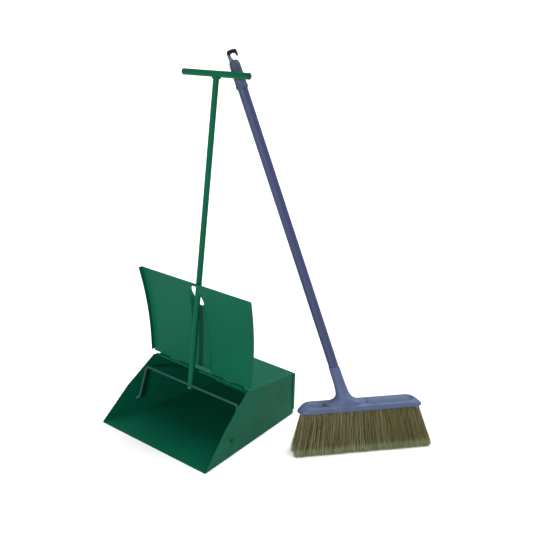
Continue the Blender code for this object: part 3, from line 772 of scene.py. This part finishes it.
# ------------------------------------------------------------------------------ lid
@dataclass
class Lid:
    """The pressed and curled lid, with its slot, channel, side folds and knuckles."""

    reach_y: float = -0.0170
    reach_z: float = 0.1835
    bulge: float = 0.0075
    width_low: float = 0.2612
    width_top: float = 0.2875
    sheet: float = 0.001
    fold: float = 0.008
    fold_start: float = 0.045
    notch: float = 0.022
    slot: tuple[float, float] = (0.722, 0.966)
    slot_width: float = 0.0185
    slot_corner: float = 0.0085
    channel_core: float = 0.0125
    channel_depth: float = 0.009
    knuckle_radius: float = 0.0024
    knuckle_wrap: float = 255.0
    knuckles: tuple[tuple[float, float], ...] = ((0.031, 0.059), (0.085, 0.113))
    pin: Vector = field(default_factory=lambda: sum(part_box("hinge_pin"), Vector()) / 2)

    def spot(self, share: float) -> tuple[Vector, Vector]:
        """The middle of the sheet at a share of its length.

        Args:
            share: 0 at the hinge, 1 at the free edge.

        Returns:
            The place, and the direction square to the sheet towards the back.
        """
        chord = Vector((0, self.reach_y - self.knuckle_radius, self.reach_z))
        rearward = Vector((0, chord.z, -chord.y)).normalized()
        place = self.pin + Vector((0, self.knuckle_radius, 0)) + chord * share
        return place + rearward * self.bulge * 4 * share * (1 - share), rearward

    def press(self, x: float, share: float) -> float:
        """How far the pressed channel stands out behind the sheet."""
        spread = 1 - min(1.0, share / self.slot[0])
        core = self.channel_core + 0.003 * spread
        shoulder = core + 0.006 + 0.010 * spread
        fade = ease((0.93 - share) / 0.20)
        return self.channel_depth * (1 - ease((abs(x) - core) / (shoulder - core))) * fade

    def panel(self) -> Piece:
        """The lid's sheet: a grid laid on its curve, with folds drawn out and knuckles rolled."""
        fine = [step * 0.0018 for step in range(1, 18)]
        half = sorted({*fine, *(edge for pair in self.knuckles for edge in pair),
                       0.045, 0.072, 0.099, 0.120, 1.0})
        columns = [-value for value in reversed(half)] + [0.0] + half
        rows = sorted({0.0, self.notch, self.fold_start, *(step / 44 for step in range(4, 45))})
        piece = Piece("lid_sheet", Shape.GRID, x_subdivisions=len(columns) - 1,
                      y_subdivisions=len(rows) - 1, size=2.0)
        piece.take(editing=False)
        for vert in piece.body.data.vertices:
            column = columns[round((vert.co.x + 1) / 2 * (len(columns) - 1))]
            share = rows[round((vert.co.y + 1) / 2 * (len(rows) - 1))]
            place, rearward = self.spot(share)
            edge = self.half_width(share)
            x = math.copysign(edge, column) if abs(column) == 1.0 else column
            place = place + rearward * self.press(x, share)
            vert.co = (x, place.y, place.z)
        notch = self.spot(self.notch)[0].z
        piece.pick(Pick.FACES, lambda face: middle(face).z < notch and not self.on_knuckle(middle(face).x))
        bpy.ops.mesh.delete(type="FACE")
        start = self.spot(self.fold_start)[0].z
        square = self.spot(0.5)[1]
        for side in (-1, 1):
            piece.pick(Pick.EDGES, lambda edge: middle(edge).x * side > 0.129 and middle(edge).z > start
                       and abs((edge.verts[0].co - edge.verts[1].co).z) > 0.001 and len(edge.link_faces) == 1)
            piece.extrude(-square * self.fold)
        piece.face(lambda face: abs(face.normal.y) > 0.9, (0, 1, 0))
        piece.pick(Pick.EDGES, lambda edge: fold_angle(edge) > 60).bevel(0.0016, 3)
        piece.pick(Pick.EDGES, lambda edge: middle(edge).z < self.pin.z + 0.0001 and len(edge.link_faces) == 1
                   and abs(edge.verts[0].co.z - edge.verts[1].co.z) < 1e-5)
        piece.roll(-self.knuckle_wrap, (0, self.pin.y, self.pin.z), 20)
        piece.face(lambda face: abs(face.normal.y) > 0.9 and middle(face).z > notch, (0, 1, 0))
        piece.thicken(self.sheet, 0.0, 0.0002)
        return piece.bore(self.slot_punch()).smooth()

    def half_width(self, share: float) -> float:
        """Half the lid's width to the middle of its folds."""
        return (self.width_low + (self.width_top - self.width_low) * share) / 2 - self.sheet / 2

    def on_knuckle(self, x: float) -> bool:
        """Whether a place along X lies on one of the lid's knuckles."""
        return any(low < abs(x) < high for low, high in self.knuckles)

    def slot_punch(self) -> Piece:
        """The round-cornered punch that cuts the slot."""
        low, high = self.spot(self.slot[0])[0], self.spot(self.slot[1])[0]
        punch = Piece("slot_punch", Shape.CUBE, size=1.0)
        punch.pick(Pick.VERTS).resize((self.slot_width, 0.06, (high - low).length))
        punch.pick(Pick.EDGES, lambda edge: abs(edge.verts[0].co.y - edge.verts[1].co.y) > 0.01)
        punch.bevel(self.slot_corner, 8)
        lean = -math.atan2((high - low).y, (high - low).z)
        return punch.settle(Matrix.Translation((low + high) / 2) @ Matrix.Rotation(lean, 4, "X"))

    def build(self) -> None:
        """Make and dress the lid."""
        hand_over(self.panel(), SHEET_GREEN, "lid", "lid_panel")


# ------------------------------------------------------------------- bail and handle
@dataclass
class Bail:
    """The wire bail that carries the pan, and the caps on its ends."""

    arm: float = 0.1235
    bend_radius: float = 0.007
    foot_radius: float = 0.0045
    pivot: Vector = field(default_factory=lambda: sum(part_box("bail_cap_left"), Vector()) / 2)

    @property
    def radius(self) -> float:
        """Half the wire's thickness."""
        return self.pivot.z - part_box("bail_wire")[0].z

    @property
    def crossbar(self) -> Vector:
        """The middle of the crossbar."""
        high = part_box("bail_wire")[1]
        return Vector((0, high.y - self.radius, high.z - self.radius))

    def wire(self) -> Piece:
        """Two arms and a crossbar, bent from one wire."""
        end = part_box("bail_wire")[1].x
        route: list[Vector] = []
        for side in (-1, 1):
            tip = Vector((side * end, self.pivot.y, self.pivot.z))
            foot = Vector((side * self.arm, self.pivot.y, self.pivot.z))
            head = Vector((side * self.arm, self.crossbar.y, self.crossbar.z))
            half = [tip, *bend(tip, foot, head, self.foot_radius),
                    *bend(foot, head, self.crossbar, self.bend_radius)]
            route += half if side < 0 else half[::-1]
        return bent_rod("bail_bar", route, self.radius).smooth(50)

    def end_cap(self, name: str, side: int) -> Piece:
        """A pushed-on steel cap with a rolled rim and a domed face."""
        low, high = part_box("bail_cap_right")
        radius, depth = (high.z - low.z) / 2, high.x - low.x
        profile = [(radius * 0.62, 0.0), (radius * 0.97, 0.0), (radius, depth * 0.08), (radius, depth * 0.20),
                   (radius * 0.93, depth * 0.30), (radius * 0.90, depth * 0.62),
                   (radius * 0.80, depth * 0.84), (radius * 0.60, depth * 0.96), (radius * 0.25, depth)]
        place = Vector((side * low.x, self.pivot.y, self.pivot.z))
        return turned(name, profile, 32).settle(
            Matrix.Translation(place) @ Matrix.Rotation(side * math.pi / 2, 4, "Y")).smooth()

    def build(self) -> None:
        """Make and dress the bail."""
        hand_over(self.wire(), WIRE_GREEN, "bail", "bail_wire")
        hand_over(self.end_cap("retainer_left", -1), ROD_GREEN, "bail", "bail_cap_left")
        hand_over(self.end_cap("retainer_right", 1), ROD_GREEN, "bail", "bail_cap_right")


@dataclass
class Handle:
    """The upright tube, its crossways grip with plugs, and the plug in its foot."""

    lean: float = 6.0
    side_lean: float = 0.4
    grip_tilt: float = 2.0
    grip_ends: tuple[float, float] = (-0.080, 0.0755)
    grip_height: float = 0.6735
    rod_radius: float = 0.0055
    rod_foot: float = 0.0045
    crossbar: Vector = field(default_factory=lambda: Bail().crossbar)

    @property
    def upright(self) -> Matrix:
        """The frame of the rod: at the crossbar's middle, with Z up the rod."""
        return (Matrix.Translation(self.crossbar) @ Matrix.Rotation(math.radians(self.side_lean), 4, "Y")
                @ Matrix.Rotation(-math.radians(self.lean), 4, "X"))

    @property
    def grip_radius(self) -> float:
        """Half the grip's thickness."""
        low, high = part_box("grip_bar")
        return (high.y - low.y) / 2

    @property
    def length(self) -> float:
        """From the crossbar's middle to the grip's middle."""
        return (self.grip_height - self.crossbar.z) / self.upright.to_3x3().col[2].z

    @property
    def crossways(self) -> Matrix:
        """The frame of the grip: at its weld, with Z along it to the right."""
        return (Matrix.Translation(self.upright @ Vector((0, 0, self.length)))
                @ Matrix.Rotation(math.radians(90 - self.grip_tilt), 4, "Y"))

    def rod(self) -> Piece:
        """The tube, with a rolled lower rim, running up into the grip's weld."""
        radius, foot, top = self.rod_radius, -self.rod_foot, self.length - self.grip_radius * 0.45
        profile = [(radius * 0.80, foot), (radius * 0.95, foot), (radius, foot + 0.0004), (radius, 0.0),
                   *((radius, top * step / 6) for step in range(1, 7)), (radius * 0.7, top + 0.0004)]
        return turned("rod_tube", profile, 40).settle(self.upright).smooth()

    def weld_bead(self) -> Piece:
        """The painted weld where the rod meets the grip, slightly rippled."""
        reach = self.grip_radius + 0.0002
        route, steps = [], 72
        for step in range(steps + 1):
            turn = 2 * math.pi * step / steps
            across, deep = self.rod_radius * math.cos(turn), self.rod_radius * math.sin(turn)
            drop = math.sqrt(max(reach ** 2 - deep ** 2, 0.0))
            ripple = 1 + 0.02 * math.sin(turn * 13)
            route.append(Vector((across * 1.10 * ripple, deep * 1.02, self.length - drop - 0.0008 * ripple)))
        bead = bent_rod("grip_weld", route, 0.0028, 16)
        bead.modify("SMOOTH", factor=0.5, iterations=3)
        return bead.settle(self.upright).smooth(70)

    def grip(self) -> Piece:
        """The crossways tube, drawn in slightly at its ends."""
        (left, right), radius = self.grip_ends, self.grip_radius
        profile = [(radius * 0.80, left), (radius * 0.97, left), (radius, left + 0.0004)]
        profile += [(radius, left + (right - left) * step / 8) for step in range(1, 8)]
        profile += [(radius, right - 0.0004), (radius * 0.97, right), (radius * 0.80, right)]
        return turned("grip_tube", profile, 40).settle(self.crossways).smooth()

    def grip_plug(self, name: str, side: int) -> Piece:
        """A domed end plug with a small step at its rim."""
        end, radius = self.grip_ends[side > 0], self.grip_radius
        profile = [(radius * 0.72, -0.006), (radius * 0.72, 0.0001), (radius * 1.02, 0.0001),
                   (radius * 1.05, 0.0006), (radius * 1.05, 0.0016), (radius * 0.96, 0.0024),
                   (radius * 0.78, 0.0029), (radius * 0.3, 0.0030)]
        outward = Matrix.Rotation(math.pi * (side < 0), 4, "X")
        place = self.crossways @ Matrix.Translation((0, 0, end)) @ outward
        return turned(name, profile, 32).settle(place).smooth()

    def foot_plug(self) -> Piece:
        """The turned plug in the rod's lower end."""
        radius = self.rod_radius
        profile = [(radius * 0.3, -0.0019), (radius * 0.72, -0.0018), (radius * 0.94, -0.0013),
                   (radius * 1.0, -0.0008), (radius * 1.0, -0.0001), (radius * 0.76, -0.0001),
                   (radius * 0.76, 0.0012)]
        return turned("rod_foot_cap", profile, 32).settle(
            self.upright @ Matrix.Translation((0, 0, -self.rod_foot))).smooth()

    def build(self) -> None:
        """Make and dress the handle."""
        hand_over(self.rod(), ROD_GREEN, "handle", "handle_rod")
        hand_over(self.weld_bead(), ROD_GREEN, "handle")
        hand_over(self.grip(), ROD_GREEN, "handle", "grip_bar")
        hand_over(self.grip_plug("grip_end_left", -1), PLUG_GREEN, "handle", "grip_plug_left")
        hand_over(self.grip_plug("grip_end_right", 1), PLUG_GREEN, "handle", "grip_plug_right")
        hand_over(self.foot_plug(), FOOT_ZINC, "handle", "rod_foot_plug")


# ---------------------------------------------------------------------------- brush
@dataclass
class Brush:
    """The leaning brush: block, four rows of tufts, coated tube, cap and hanging hook.

    Each of the block's levels is a height over its base, with how far its sides and its ends draw in
    there. Each ring of the flare is a radius and a height above the bristles' tips. Each point of the
    hook's outline lies across the tube and above the cap's top.
    """

    foot: tuple[float, float, float] = (0.2845, 0.1240, 0.0)
    turn: float = 52.9
    tilt: float = 11.8
    tube_lean: float = 17.6
    tube_radius: float = 0.009
    tube_ends: tuple[float, float] = (0.112, 0.7280)
    base: float = 0.0750
    half_length: float = 0.1205
    levels: tuple[tuple[float, float, float], ...] = (
        (0.0, 0.0010, 0.0010), (0.0020, 0.0, 0.0), (0.0050, 0.0, 0.0015), (0.0085, 0.0, 0.0050),
        (0.0115, 0.0010, 0.0090), (0.0140, 0.0035, 0.0135))
    flare: tuple[tuple[float, float], ...] = (
        (0.0430, 0.0850), (0.0430, 0.0905), (0.0350, 0.0922), (0.0270, 0.0940), (0.0210, 0.0962),
        (0.0170, 0.0990), (0.0144, 0.1028), (0.0128, 0.1080), (0.0118, 0.1160), (0.0111, 0.1260),
        (0.0108, 0.1380), (0.0106, 0.1500), (0.0104, 0.1570), (0.0100, 0.1580))
    top_slope: float = -8.0
    thick: float = 0.039
    corner: float = 0.0165
    remesh_cell: float = 0.00095
    cap_ends: tuple[float, float] = (0.6975, 0.7490)
    hook_outline: tuple[tuple[float, float], ...] = (
        (-0.0076, -0.016), (-0.0076, 0.0125), (-0.0066, 0.0158), (-0.0042, 0.0176), (0.0010, 0.0182),
        (0.0076, 0.0178), (0.0098, 0.0165), (0.0106, 0.0140), (0.0110, 0.0100), (0.0112, 0.0066),
        (0.0104, 0.0046), (0.0088, 0.0042), (0.0078, 0.0052), (0.0078, 0.0078), (0.0066, 0.0100),
        (0.0040, 0.0112), (0.0008, 0.0112), (-0.0016, 0.0100), (-0.0026, 0.0078), (-0.0022, 0.0050),
        (-0.0004, 0.0016), (0.0004, -0.0020), (-0.0010, -0.016))
    hook_half: float = 0.0028

    @property
    def head_frame(self) -> Matrix:
        """The block's own frame: X along it, Z up through it."""
        return (Matrix.Translation(self.foot) @ Matrix.Rotation(math.radians(self.turn), 4, "Z")
                @ Matrix.Rotation(-math.radians(self.tilt), 4, "X"))

    @property
    def tube_frame(self) -> Matrix:
        """The tube's own frame: Z up the tube."""
        return self.head_frame @ Matrix.Rotation(-math.radians(self.tube_lean), 4, "Y")

    def block(self) -> Piece:
        """The block and its flared socket, moulded in one with soft fillets."""
        sides = 64
        plate = Piece("block_moulding", Shape.CIRCLE, vertices=sides, radius=self.corner, fill_type="NGON",
                      location=(0, 0, self.base), rotation=(0, 0, math.pi / sides))
        half_x, half_y = self.half_length, self.thick / 2
        for axis, reach in ((0, half_x - self.corner), (1, half_y - self.corner)):
            for side in (-1, 1):
                plate.pick(Pick.VERTS, lambda vert: vert.co[axis] * side > 0)
                plate.move([side * reach * (axis == place) for place in range(3)])
        plate.pick(Pick.FACES).resize((1 - self.levels[0][2] / half_x, 1 - self.levels[0][1] / half_y, 1))
        for (height, deep, long), (higher, deeper, longer) in zip(self.levels, self.levels[1:]):
            plate.extrude((0, 0, higher - height))
            plate.resize(((half_x - longer) / (half_x - long), (half_y - deeper) / (half_y - deep), 1))
            if higher == self.levels[-2][0]:
                plate.lean(self.top_slope, (0, 0, self.base + higher))
        plate.inset(0.0034).inset(0.0030, 0.0024).inset(0.0040, 0.0006)
        plate.weld()
        socket = self.socket()
        plate.modify("BOOLEAN", operation="UNION", solver="EXACT", object=socket.body)
        bpy.data.objects.remove(socket.body, do_unlink=True)
        plate.modify("REMESH", mode="VOXEL", voxel_size=self.remesh_cell, use_smooth_shade=True)
        plate.modify("SMOOTH", factor=0.5, iterations=10)
        plate.bore(self.socket_bore())
        return plate.settle(self.head_frame).smooth(50)

    def socket(self) -> Piece:
        """The socket, leaning with the tube and spreading to a broad toe along the block."""
        slope, deepest = math.tan(math.radians(self.tube_lean)), self.thick * 0.46
        (radius, height), *others = self.flare
        piece = Piece("socket", Shape.CIRCLE, vertices=56, radius=radius,
                      location=(-slope * height, 0, height), fill_type="NGON")
        piece.pick(Pick.FACES).resize((1, deepest / radius, 1), (-slope * height, 0, height))
        for wider, higher in others:
            piece.extrude((-slope * (higher - height), 0, higher - height))
            piece.resize((wider / radius, min(wider, deepest) / min(radius, deepest), 1),
                         (-slope * higher, 0, higher))
            radius, height = wider, higher
        return piece.weld()

    def socket_bore(self) -> Piece:
        """The hole that the tube stands in."""
        radius = self.tube_radius + 0.0003
        bore = turned("socket_bore", [(radius, self.tube_ends[0]), (radius, 0.18)], 48)
        return bore.settle(Matrix.Rotation(-math.radians(self.tube_lean), 4, "Y"))

    def tube(self) -> Piece:
        """The long coated tube."""
        low, high = self.tube_ends
        radius = self.tube_radius
        profile = [(radius * 0.9, low), *((radius, low + (high - low) * step / 12) for step in range(13)),
                   (radius * 0.9, high)]
        return turned("brush_pole", profile, 48).settle(self.tube_frame).smooth()

    def cap(self) -> Piece:
        """The cap over the tube's top, with a stepped collar and a sloped round crown."""
        low, high = self.cap_ends
        profile = [(0.0094, low), (0.0105, low), (0.0109, low + 0.0006), (0.0109, low + 0.0052),
                   (0.0106, low + 0.0060), (0.0102, low + 0.0066), (0.0102, low + 0.0110),
                   (0.0100, low + 0.0330), (0.0098, high - 0.0090), (0.0092, high - 0.0052),
                   (0.0078, high - 0.0022), (0.0056, high - 0.0006), (0.0025, high)]
        return turned("tube_cap", profile, 48).settle(self.tube_frame).smooth(45)

    def hook(self) -> Piece:
        """The hanging hook: a flat spine off the cap's side, a thick crown and a turned-down tip."""
        top = self.cap_ends[1]
        corners = len(self.hook_outline)
        piece = Piece("hook_moulding", Shape.CIRCLE, vertices=corners, radius=1.0, fill_type="NGON")
        piece.take(editing=False)
        for vert, (x, z) in zip(piece.body.data.vertices, self.hook_outline):
            vert.co = (x, -self.hook_half, top + z)
        piece.pick(Pick.FACES).extrude((0, 2 * self.hook_half, 0))
        piece.weld()
        piece.modify("BEVEL", width=0.0011, segments=3, limit_method="ANGLE", angle_limit=math.radians(50))
        return piece.settle(self.tube_frame).smooth(45)

    def build(self) -> None:
        """Make and dress the brush."""
        hand_over(self.block(), BLUE_PLASTIC, "brush", "brush_block")
        skin = CoatedTube("vinyl_skin_on_tube", "coated_tube", "#2F3857", "#282F4A",
                          place=tuple(self.tube_frame.translation), turn=tuple(self.tube_frame.to_euler()))
        hand_over(self.tube(), skin, "brush", "brush_tube")
        hand_over(self.cap(), CAP_PLASTIC, "brush", "end_cap")
        hand_over(self.hook(), HOOK_PLASTIC, "brush", "hanging_hook")
        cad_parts["tube_plug"].data.materials.clear()
        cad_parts["tube_plug"].data.materials.append(BLACK_PLASTIC.material())
        for row in range(Bristles.rows):
            hand_over(Bristles(self, row).build(), FIBRE, "brush", f"bristle_row_{row + 1}")


class Bristles:
    """One row of tufts, strand by strand."""

    rows = 4
    tufts = 46
    strands = 56
    stations = np.array([0.0, 0.22, 0.45, 0.68, 0.86, 1.0])

    def __init__(self, brush: Brush, row: int) -> None:
        """Keep the brush that the row belongs to, and the row's number from the front."""
        self.brush = brush
        self.row = row
        self.chance = np.random.default_rng(40 + row)

    def build(self) -> Piece:
        """Grow the row's strands from round tufts to a flared, even-cut foot.

        Returns:
            The row, as one mesh with each strand's tone and the distance along it.
        """
        count = self.tufts * self.strands
        chance = self.chance
        tuft = np.repeat(np.arange(self.tufts), self.strands)
        across = (tuft + 0.5 * (self.row % 2) + 0.25) / self.tufts * 2 - 1
        deep = (self.row - 1.5) / 1.5
        ring, angle = np.sqrt(chance.random(count)) * 0.0017, chance.random(count) * 2 * np.pi
        off_x, off_y = ring * np.cos(angle), ring * np.sin(angle)
        root_x = across * 0.1135 + 0.0005 + off_x
        root_y = deep * 0.0125 + off_y
        tip_x = across * 0.1330 + 0.0030 + off_x * 2.3 + chance.normal(0, 0.0016, count)
        tip_y = deep * 0.0165 + off_y * 1.9 + chance.normal(0, 0.0016, count)
        tilt = math.tan(math.radians(self.brush.tilt))
        tip_z = tip_y * tilt + np.abs(chance.normal(0, 0.0012, count)) + 0.0002
        sway_x, sway_y = chance.normal(0, 0.0010, count), chance.normal(0, 0.0010, count)
        share = self.stations[None, :]
        curve = share ** 1.12
        wave = np.sin(share * np.pi)
        x = root_x[:, None] + (tip_x - root_x)[:, None] * curve + sway_x[:, None] * wave
        y = root_y[:, None] + (tip_y - root_y)[:, None] * curve + sway_y[:, None] * wave
        z = (self.brush.base + 0.001) + (tip_z[:, None] - self.brush.base - 0.001) * share
        width = np.array([0.00030, 0.00031, 0.00031, 0.00031, 0.00033, 0.00022])[None, :]
        verts = []
        for corner in range(3):
            turn = angle + corner * 2 * np.pi / 3
            side_x, side_y = np.cos(turn)[:, None] * width, np.sin(turn)[:, None] * width
            verts.append(np.stack([x + side_x, y + side_y, z], axis=-1))
        points = np.stack(verts, axis=2).reshape(-1, 3)
        return self.mesh(points, count)

    def mesh(self, points: np.ndarray, count: int) -> Piece:
        """Skin the strands' points and note their tones.

        Args:
            points: All vertices, strand by strand and station by station, three to a station.
            count: How many strands there are.

        Returns:
            The row in its place.
        """
        levels = len(self.stations)
        quads = [(low + side, low + (side + 1) % 3, low + 3 + (side + 1) % 3, low + 3 + side)
                 for low in range(0, 3 * (levels - 1), 3) for side in range(3)]
        starts = np.arange(count) * levels * 3
        sides = (starts[:, None, None] + np.array(quads)[None]).reshape(-1, 4)[:, ::-1]
        ends = np.concatenate([starts[:, None] + np.array([0, 1, 2]),
                               starts[:, None] + np.array([2, 1, 0]) + (levels - 1) * 3])
        made = bpy.data.meshes.new(f"tuft_row_{self.row + 1}")
        made.from_pydata(points.tolist(), [], sides.tolist() + ends.tolist())
        tone = np.repeat(np.clip(self.chance.normal(0.5, 0.24, count), 0, 1), levels * 3)
        along = np.tile(np.repeat(self.stations, 3), count)
        for name, values in (("tone", tone), ("along", along)):
            made.attributes.new(name, "FLOAT", "POINT").data.foreach_set("value", values.astype(np.float32))
        piece = Piece.from_object(bpy.data.objects.new(made.name, made))
        bpy.context.scene.collection.objects.link(piece.body)
        return piece.settle(self.brush.head_frame).smooth(80)


# --------------------------------------------------------------------------- studio
@dataclass
class Studio:
    """The floor, the soft lights and the camera.

    Each lamp has a name, where it stands seen from the set, the degrees it fills and its strength.
    """

    lamps: tuple[tuple[str, tuple[float, float, float], float, float], ...] = (
        ("top_light", (0.10, 0.50, 1.0), 60.0, 4.8),
        ("front_light", (0.30, -1.0, 0.28), 8.0, 2.8),
        ("right_light", (1.0, 0.5, 0.6), 30.0, 0.3))
    surround: float = 0.35
    place: tuple[float, float, float] = (1.1103, -1.1390, 0.8465)
    heading: float = 40.24
    pitch: float = 18.24
    roll: float = 1.53
    lens: float = 60.46

    def floor(self) -> None:
        """A wide plain floor that runs out to the horizon."""
        piece = Piece("studio_floor", Shape.PLANE, size=90.0)
        piece.body.data.materials.append(FLOOR.material())

    def light(self, name: str, towards: Sequence[float], spread: float, power: float) -> None:
        """An even light from far off, as soft as its spread in degrees.

        Args:
            name: The light's name.
            towards: Where it stands, seen from the set.
            spread: The angle it fills, which softens its shadows.
            power: Its strength.
        """
        lamp = bpy.data.lights.new(name, "SUN")
        lamp.angle = math.radians(spread)
        lamp.energy = power
        made = bpy.data.objects.new(name, lamp)
        bpy.context.scene.collection.objects.link(made)
        made.location = Vector(towards).normalized() * 3
        made.rotation_euler = Vector(towards).to_track_quat("Z", "Y").to_euler()

    def world(self) -> None:
        """An even, dim white surround."""
        world = bpy.data.worlds.new("white_studio")
        world.use_nodes = True
        glow = world.node_tree.nodes["Background"].inputs
        glow["Color"].default_value = (1.0, 1.0, 1.0, 1.0)
        glow["Strength"].default_value = self.surround
        bpy.context.scene.world = world
        bpy.context.scene.view_settings.view_transform = "Standard"

    def camera(self) -> None:
        """The camera at the set's viewing angle, with no depth of field."""
        lens = bpy.data.cameras.new("camera")
        lens.lens = self.lens
        lens.sensor_width = 36.0
        lens.clip_end = 50.0
        made = bpy.data.objects.new("camera", lens)
        bpy.context.scene.collection.objects.link(made)
        turn = (Matrix.Rotation(math.radians(self.heading), 4, "Z")
                @ Matrix.Rotation(math.radians(90 - self.pitch), 4, "X")
                @ Matrix.Rotation(math.radians(self.roll), 4, "Z"))
        made.matrix_world = Matrix.Translation(self.place) @ turn
        bpy.context.scene.camera = made

    def build(self) -> None:
        """Set the stage."""
        self.world()
        self.floor()
        for lamp in self.lamps:
            self.light(*lamp)
        self.camera()


def main() -> None:
    """Build the set and the studio round it, logging each piece's faces."""
    logging.basicConfig(level=logging.INFO, format="%(name)s: %(message)s")
    for part in (PanBody(), Lid(), Bail(), Handle(), Brush()):
        log.info("building %s", type(part).__name__)
        part.build()
    Studio().build()
    Piece.put_down()


if __name__ == "__main__":
    main()
